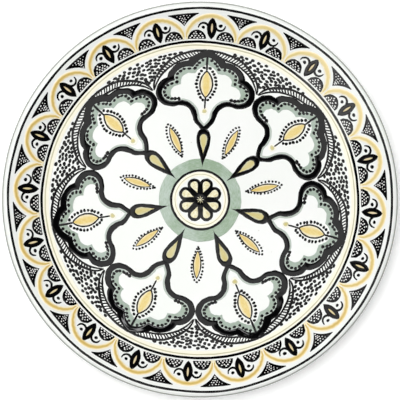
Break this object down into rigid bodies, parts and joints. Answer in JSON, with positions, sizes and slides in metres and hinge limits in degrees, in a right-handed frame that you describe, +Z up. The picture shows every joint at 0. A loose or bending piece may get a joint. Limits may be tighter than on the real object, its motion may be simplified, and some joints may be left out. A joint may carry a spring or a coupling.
{
  "type": "hand painted ceramic plate",
  "caption": "Round glazed plate with a shallow well, sloped rim and foot ring, painted with palmettes round a rosette and a border of arches.",
  "frame": {"origin": "middle of the foot ring on the resting plane", "axes": "+Z up out of the well, along the plate's axis of turning; +Y through the first palmette; +X to its right seen from above"},
  "size_m": [0.28, 0.28, 0.0281],
  "materials": {
    "clay": "matt fired buff clay, bare on the foot ring",
    "glaze": "clear glossy white glaze, faintly green where it is thick",
    "black_enamel": "glossy black enamel brushed on",
    "ochre_enamel": "translucent ochre enamel, deeper along the middle of each stroke",
    "pale_ochre_enamel": "pale ochre enamel with brush streaks",
    "green_wash": "thin grey green enamel wash",
    "cream_wash": "thin cream wash under gloss",
    "lip_enamel": "thin grey green line round the lip"
  },
  "bodies": {
    "root": {"clay_body": "clay", "glaze_coat": "glaze", "foot_well_glaze": "glaze", "lip_line": "lip_enamel", "outer_black_line": "black_enamel", "rim_arches": "ochre_enamel", "spandrels": "black_enamel", "almond_leaves": "black_enamel", "almond_slots": "pale_ochre_enamel", "tendrils": "black_enamel", "rim_dots": "black_enamel", "scale_domes": "black_enamel", "inner_black_line": "black_enamel", "cream_band": "cream_wash", "dot_field": "black_enamel", "rope_arcs": "black_enamel", "palmette_outlines": "black_enamel", "palmette_washes": "green_wash", "palmette_dots": "black_enamel", "palmette_almonds": "black_enamel", "palmette_hearts": "ochre_enamel", "palmette_almond_dots": "black_enamel", "palmette_buds": "pale_ochre_enamel", "petal_almonds": "black_enamel", "petal_hearts": "ochre_enamel", "petal_dots": "black_enamel", "drops": "black_enamel", "drop_hearts": "pale_ochre_enamel", "centre_green": "green_wash", "medallion_line": "black_enamel", "medallion_cream": "cream_wash", "rosette": "black_enamel", "rosette_hearts": "pale_ochre_enamel", "rosette_centre": "pale_ochre_enamel"}
  },
  "joints": []
}
